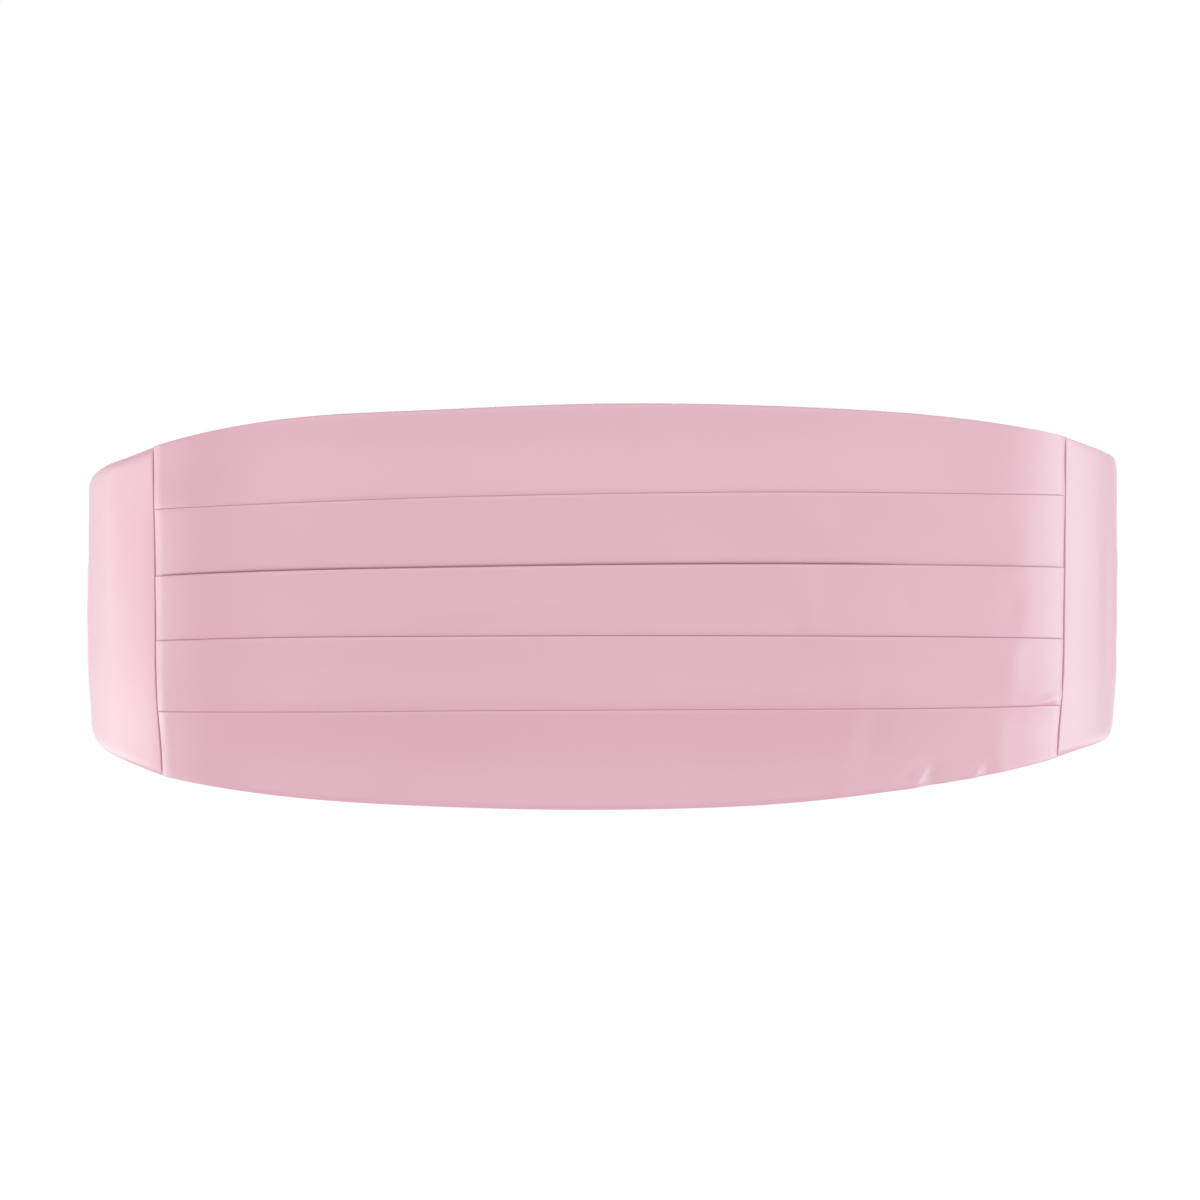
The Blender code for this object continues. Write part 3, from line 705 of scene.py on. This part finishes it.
def ribbed_tape(name):
    """Dull woven tape with fine ribs across it, painted shade in the grooves between them, and a plainer
    selvedge.
    """
    finish, tree, shader = new_finish(name)
    cloth = add_node(tree, "ShaderNodeAttribute", attribute_name="cloth")["Vector"]
    along, across = add_node(tree, "ShaderNodeSeparateXYZ", {0: cloth})[:2]
    ribs, warp = waves(tree, along, RIB_PITCH), waves(tree, across, WARP_PITCH)
    woven = add_node(tree, "ShaderNodeMath", {0: warp, 1: WARP_SHARE, 2: ribs}, operation="MULTIPLY_ADD")[0]
    fuzz = noise(tree, cloth, detail=3, scale=FUZZ_WAVES)
    raised = relief(tree, woven, RIB_RELIEF, RIB_HEIGHT)
    connect(tree, shader, TAPE_SHEEN)
    connect(tree, shader, {
        # The grooves between the ribs and threads are coloured darker than the ribs, following their relief:
        # painted shade.
        "Base Color": blended(tree, ranged(tree, woven, 0, 1, VALLEY_AT, RIDGE_FROM), TAPE_GROOVE_SHADE, TAPE_RIDGE),
        "Roughness": ranged(tree, fuzz, TAPE_SMOOTHEST, TAPE_ROUGHEST),
        "Normal": relief(tree, fuzz, FUZZ_RELIEF, FUZZ_HEIGHT, over=raised),
    })
    return finish


def make_tape(name, node, route, finish):
    """A tape of even width along a route, thin at its selvedges."""
    face = np.linspace(SELVEDGE, TAPE_WIDTH - SELVEDGE, TAPE_FACE_STEPS + 1)[1:-1]
    height = np.concatenate([SELVEDGE_STOPS, face, (TAPE_WIDTH - SELVEDGE_STOPS)[::-1]])
    thinning = 1 - np.minimum(1, np.minimum(height, TAPE_WIDTH - height) / SELVEDGE)
    thick = SELVEDGE_THICK + (TAPE_THICK - SELVEDGE_THICK) * np.sqrt(1 - thinning ** 2)
    height = height[:, None] - TAPE_WIDTH / 2
    paths = np.repeat(route[None], len(height), axis=0)
    surfaces = []
    for side in both_sides(paths, thick[:, None, None]):
        surfaces.append(on_waist(HALF_GIRTH + side[..., 0], height, side[..., 1]))
    down = lengths_down(paths)
    threads = np.stack([down, np.broadcast_to(height, down.shape)], axis=-1)
    tape = shell(name, *surfaces, threads, finish)
    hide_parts(node)
    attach(tape, "root")


tape_finish = ribbed_tape("pink tape")

right_wing_end = HALF_GIRTH - RIGHT_SEAM - SEAM_GAP / 2 - WING_LENGTH
eye_turn = EYE_WIRE / 2 + STRAP_GAP + CAD_TAPE / 2
short_route = tape_route(
    (-right_wing_end, TAPE_IN_WING),
    (-EYE_DEPTH - SHORT_TURN_BACK - 2 * TAPE_SLACK, TAPE_IN_WING),
    (-EYE_DEPTH - SHORT_TURN_BACK - TAPE_SLACK / 2, TAPE_OVER),
    (-EYE_DEPTH - TAPE_SLACK, TAPE_OVER),
    turned((-EYE_DEPTH, METAL_OUT), eye_turn, EYE_TURN_END, UNDER_BAR),
    (-EYE_DEPTH - TAPE_SLACK, TAPE_LYING),
    (-EYE_DEPTH - SHORT_TURN_BACK, TAPE_LYING),
)
make_tape("tape_short", "strap_short", short_route, tape_finish)

left_wing_end = HALF_GIRTH - LEFT_SEAM - SEAM_GAP / 2 - WING_LENGTH
hook_turn = HOOK_BAR / 2 + STRAP_GAP + CAD_TAPE / 2
hook_bar = (HOOK_SLOT_FAR + HOOK_BAR / 2, METAL_OUT)
wrap = SLIDER_BAR / 2 + STRAP_GAP + CAD_TAPE / 2
over_wrap = turned((SLIDER_REACH, SLIDER_OUT), wrap + CAD_TAPE + STRAP_GAP, 180 - CLIMB_ANGLE, CLIMB_ANGLE)
fall = np.array([math.sin(math.radians(CLIMB_ANGLE)), -math.cos(math.radians(CLIMB_ANGLE))])
to_hook = (over_wrap[0][1] - TAPE_OVER) / -fall[1]
to_wing = (over_wrap[-1][1] - TAPE_IN_WING) / -fall[1]
long_route = tape_route(
    turned((SLIDER_REACH, SLIDER_OUT), wrap, WRAP_END, UNDER_BAR),
    (SLIDER_REACH - TAPE_SLACK, TAPE_LYING),
    (hook_bar[0] + TAPE_SLACK / 2, TAPE_LYING),
    turned(hook_bar, hook_turn, UNDER_BAR, HOOK_TURN_END),
    (hook_bar[0] + TAPE_SLACK, TAPE_OVER),
    over_wrap[0] + to_hook * fall * (-1, 1),
    over_wrap,
    over_wrap[-1] + to_wing * fall,
    (left_wing_end, TAPE_IN_WING),
)
make_tape("tape_long", "strap_long", long_route, tape_finish)

# The stitching
# Pink polyester thread in lock stitches: a box through each wing's end and the tape inside it, and one
# through the two layers of the short tape.
STITCH_PITCH = 2.6 * MM
STITCH_LENGTH = 2.1 * MM
STITCH_SINK = 0.10 * MM
STITCH_RINGS = 6
THREAD_THICK = 0.32 * MM
THREAD_FLATNESS = 0.7
THREAD_END = 0.06
THREAD_SIDES = 6

# The boxes: how far in from the wing's end or the tape's they start, their length and half their height
BOX_INSET = 3 * MM
BOX_LENGTH = 10 * MM
BOX_HALF_HEIGHT = 11 * MM
EYE_BOX_INSET = 2 * MM
EYE_BOX_LENGTH = 8 * MM
EYE_BOX_HALF_HEIGHT = 10 * MM
BoxStitch = namedtuple("BoxStitch", "name near_arc far_arc half_height out slot")


def stitch(start, end, up):
    """Points and faces of one stitch, whose ends sink into the cloth."""
    along = (end - start) / np.linalg.norm(end - start)
    beside = np.cross(up, along)
    turn = np.linspace(0, 2 * math.pi, THREAD_SIDES, endpoint=False)
    points, faces = [], []
    for k, share in enumerate(np.linspace(0, 1, STITCH_RINGS)):
        plump = math.sqrt(max(THREAD_END, 1 - (2 * share - 1) ** 4))
        centre = start + (end - start) * share + up * (THREAD_THICK / 4 - STITCH_SINK * (2 * share - 1) ** 2)
        ring = np.cos(turn)[:, None] * beside + np.sin(turn)[:, None] * up * THREAD_FLATNESS
        points += list(centre + ring * THREAD_THICK / 2 * plump)
        if k:
            here, before = k * THREAD_SIDES, (k - 1) * THREAD_SIDES
            for i in range(THREAD_SIDES):
                j = (i + 1) % THREAD_SIDES
                faces.append((before + i, before + j, here + j, here + i))
    faces.append(tuple(range(THREAD_SIDES))[::-1])
    faces.append(tuple(range((STITCH_RINGS - 1) * THREAD_SIDES, STITCH_RINGS * THREAD_SIDES)))
    return points, faces


THREAD_PINK = linear((205, 156, 170))
THREAD_PALE = linear((224, 180, 192))
PLY_WAVES = 5200
PLY_RELIEF = 0.5
PLY_HEIGHT = 0.05 * MM
THREAD_ROUGHNESS = 0.5


def twisted_thread(name):
    """Slightly glossy thread with its plies twisted."""
    finish, tree, shader = new_finish(name)
    place = add_node(tree, "ShaderNodeTexCoord")["Object"]
    plies = noise(tree, place, detail=2, scale=PLY_WAVES)
    connect(tree, shader, {
        "Base Color": blended(tree, plies, THREAD_PINK, THREAD_PALE),
        "Roughness": THREAD_ROUGHNESS,
        "Normal": relief(tree, plies, PLY_RELIEF, PLY_HEIGHT),
    })
    return finish


def box_stitch(box, finish):
    """A rectangle of stitches on the outside of the back."""
    corners = [(box.near_arc, -1), (box.far_arc, -1), (box.far_arc, 1), (box.near_arc, 1), (box.near_arc, -1)]
    points, faces = [], []
    for (arc, side), (next_arc, next_side) in zip(corners, corners[1:]):
        length = math.hypot(next_arc - arc, (next_side - side) * box.half_height)
        count = max(1, round(length / STITCH_PITCH))
        for k in range(count):
            half = STITCH_LENGTH / STITCH_PITCH / 2
            ends = []
            for share in ((k + 0.5 - half) / count, (k + 0.5 + half) / count):
                here_arc = arc + (next_arc - arc) * share
                here_height = (side + (next_side - side) * share) * box.half_height
                ends.append(on_waist(here_arc, here_height, box.out))
                above = on_waist(here_arc, here_height, box.out + MM)
            up = (above - ends[-1]) / np.linalg.norm(above - ends[-1])
            more_points, more_faces = stitch(*ends, up)
            faces += [tuple(i + len(points) for i in corner) for corner in more_faces]
            points += more_points
    mesh = bpy.data.meshes.new(box.name)
    mesh.from_pydata([tuple(map(float, point)) for point in points], [], faces)
    piece = new_piece(box.name, mesh, finish)
    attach(piece, "root")


thread = twisted_thread("pink thread")
left_tip = HALF_GIRTH + left_wing_end
right_tip = HALF_GIRTH - right_wing_end
turn_back = HALF_GIRTH - EYE_DEPTH - SHORT_TURN_BACK
for box in (
    BoxStitch(
        name="stitches_left",
        near_arc=left_tip + BOX_INSET,
        far_arc=left_tip + BOX_INSET + BOX_LENGTH,
        half_height=BOX_HALF_HEIGHT,
        out=WING_THICK,
        slot="wing_satin",
    ),
    BoxStitch(
        name="stitches_right",
        near_arc=right_tip - BOX_INSET,
        far_arc=right_tip - BOX_INSET - BOX_LENGTH,
        half_height=BOX_HALF_HEIGHT,
        out=WING_THICK,
        slot="wing_satin",
    ),
    BoxStitch(
        name="stitches_eye",
        near_arc=turn_back + EYE_BOX_INSET,
        far_arc=turn_back + EYE_BOX_INSET + EYE_BOX_LENGTH,
        half_height=EYE_BOX_HALF_HEIGHT,
        out=TAPE_OVER + TAPE_THICK / 2,
        slot="strap_tape",
    ),
):
    box_stitch(box, thread)

# The hook, the eye and the slider
# Bought-in fittings in nickel-plated steel: a bent plate, a ring of round wire and a three-bar plate. The
# plating is smooth and bright, with fine scratches from use, and the stamped edges are rounded.
STAMPED_EDGE = 0.22 * MM
STAMPED_EDGE_STEPS = 3
STAMPED_CORNER = 50
METAL_SHARP_ABOVE = 38
FLAT_WITHIN = 1
WELD_WITHIN = 0.001 * MM

# Its colours as the shader takes them, and its haze and scratches in waves a metre
NICKEL = (0.40, 0.385, 0.36, 1)
NICKEL_HAZE = (0.50, 0.485, 0.46, 1)
HAZE_WAVES = 140
HAZE_FROM = 0.3
HAZE_TO = 0.7
NICKEL_SMOOTHEST = 0.10
NICKEL_ROUGHEST = 0.24
SCRATCH_WAVES = (300, 300, 5200)
SCRATCH_RELIEF = 0.12
SCRATCH_DEPTH = 0.02 * MM


def nickel(name):
    """Bright nickel plate with fine scratches and a slight haze."""
    finish, tree, shader = new_finish(name)
    place = add_node(tree, "ShaderNodeTexCoord")["Object"]
    haze = noise(tree, place, detail=4, scale=HAZE_WAVES)
    scratches = noise(tree, scaled(tree, place, SCRATCH_WAVES), detail=2)
    connect(tree, shader, {
        "Base Color": blended(tree, haze, NICKEL, NICKEL_HAZE),
        "Metallic": 1,
        "Roughness": ranged(tree, haze, NICKEL_SMOOTHEST, NICKEL_ROUGHEST, HAZE_FROM, HAZE_TO),
        "Normal": relief(tree, scratches, SCRATCH_RELIEF, SCRATCH_DEPTH),
    })
    return finish


def fitting(name, node, edge, finish):
    """A fitting in its solid's form, with smooth bends and its edges rounded by so much."""
    bm = bmesh.new()
    bm.from_mesh(bpy.data.objects[node].data)
    bmesh.ops.remove_doubles(bm, verts=bm.verts, dist=WELD_WITHIN)
    bmesh.ops.dissolve_limit(bm, angle_limit=math.radians(FLAT_WITHIN), verts=bm.verts, edges=bm.edges)
    mesh = bpy.data.meshes.new(name)
    bm.to_mesh(mesh)
    bm.free()
    mesh.materials.clear()
    piece = new_piece(name, mesh, finish)
    mesh.set_sharp_from_angle(angle=math.radians(METAL_SHARP_ABOVE))
    if edge:
        rounding = piece.modifiers.new("rounded edges", "BEVEL")
        rounding.width = edge
        rounding.segments = STAMPED_EDGE_STEPS
        rounding.limit_method = "ANGLE"
        rounding.angle_limit = math.radians(STAMPED_CORNER)
        rounding.harden_normals = True
    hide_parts(node)
    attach(piece, "root")


plating = nickel("nickel plate")
fitting("nickel_hook", "hook", STAMPED_EDGE, plating)
fitting("nickel_eye", "eye", 0, plating)
fitting("nickel_slider", "slider", 0, plating)

# The studio
# A white floor well below the garment and a white room, which light it evenly, and soft lamps all round,
# which add only its shine: bands up both sides, and a glow on the pleats from the front and from below.
FLOOR_REACH = 8
FLOOR_HEIGHT = -0.45
PAPER = {
    "Base Color": (0.8, 0.8, 0.8, 1),
    "Roughness": 0.9,
    "Emission Color": (1, 1, 1, 1),
    "Emission Strength": 0.3,
}
ROOM = {"Color": (1, 1, 1, 1), "Strength": 1.0}

floor_mesh = bpy.data.meshes.new("floor")
floor_corners = [(x * FLOOR_REACH, y * FLOOR_REACH, 0) for x, y in ((-1, -1), (1, -1), (1, 1), (-1, 1))]
floor_mesh.from_pydata(floor_corners, [], [(0, 1, 2, 3)])
paper, paper_tree, paper_shader = new_finish("white paper")
connect(paper_tree, paper_shader, PAPER)
floor = new_piece("floor", floor_mesh, paper)
floor.location = (0, 0, FLOOR_HEIGHT)

world = bpy.data.worlds.new("white room")
world.use_nodes = True
connect(world.node_tree, world.node_tree.nodes["Background"], ROOM)
bpy.context.scene.world = world

LAMP_AWAY = 1.5
STRIP_SIZE = (0.53, 1.4)
PANEL_SIZE = (1.24, 0.75)
LOW_SIZE = (1.24, 0.2)
BACK_SIZE = (0.7, 0.4)
COOL = (0.70, 1.0, 1.0)
NEUTRAL = (0.88, 1.0, 0.98)


def softbox(lamp):
    """A soft lamp that faces the garment's middle, and adds shine only."""
    data = bpy.data.lights.new(lamp.name, "AREA")
    data.shape = "RECTANGLE"
    data.size, data.size_y = lamp.size
    data.energy = lamp.power
    data.color = lamp.tint
    turn = math.radians(lamp.round)
    place = Vector((LAMP_AWAY * math.sin(turn), -LAMP_AWAY * math.cos(turn), lamp.height))
    light = bpy.data.objects.new(lamp.name, data)
    light.location = place
    light.rotation_euler = (-place).to_track_quat("-Z", "Y").to_euler()
    light.visible_camera = False
    light.visible_diffuse = False
    bpy.context.scene.collection.objects.link(light)


# Where each lamp stands, in degrees from the front towards +X, its height in metres and its power in watts
Lamp = namedtuple("Lamp", "name round height power size tint")
for lamp in (
    Lamp(name="right_front", round=60, height=0.2, power=0.5, size=STRIP_SIZE, tint=COOL),
    Lamp(name="right_beside", round=80, height=0.2, power=1.7, size=STRIP_SIZE, tint=COOL),
    Lamp(name="right", round=100, height=0.15, power=8.5, size=STRIP_SIZE, tint=COOL),
    Lamp(name="right_back", round=120, height=0.1, power=3.0, size=STRIP_SIZE, tint=COOL),
    Lamp(name="left_front", round=-60, height=0.1, power=0.9, size=STRIP_SIZE, tint=NEUTRAL),
    Lamp(name="left", round=-100, height=-0.4, power=6.2, size=STRIP_SIZE, tint=NEUTRAL),
    Lamp(name="left_back", round=-120, height=-0.4, power=4.8, size=STRIP_SIZE, tint=NEUTRAL),
    Lamp(name="left_behind", round=-140, height=-0.4, power=1.0, size=STRIP_SIZE, tint=NEUTRAL),
    Lamp(name="back", round=175, height=0.40, power=6.0, size=BACK_SIZE, tint=NEUTRAL),
    Lamp(name="low_front", round=0, height=-0.34, power=0.4, size=LOW_SIZE, tint=COOL),
    Lamp(name="low_right", round=70, height=-0.34, power=1.4, size=LOW_SIZE, tint=COOL),
    Lamp(name="low_right_side", round=125, height=-0.34, power=1.2, size=LOW_SIZE, tint=COOL),
    Lamp(name="low_left_side", round=-125, height=-0.34, power=1.5, size=LOW_SIZE, tint=NEUTRAL),
    Lamp(name="front", round=0, height=0.30, power=4.6, size=PANEL_SIZE, tint=COOL),
    Lamp(name="front_left", round=-45, height=0.30, power=4.2, size=PANEL_SIZE, tint=COOL),
    Lamp(name="front_right", round=45, height=0.30, power=4.8, size=PANEL_SIZE, tint=COOL),
):
    softbox(lamp)

# Colours as they are, with no film look over them
view = bpy.context.scene.view_settings
view.view_transform = "Standard"
view.look = "None"
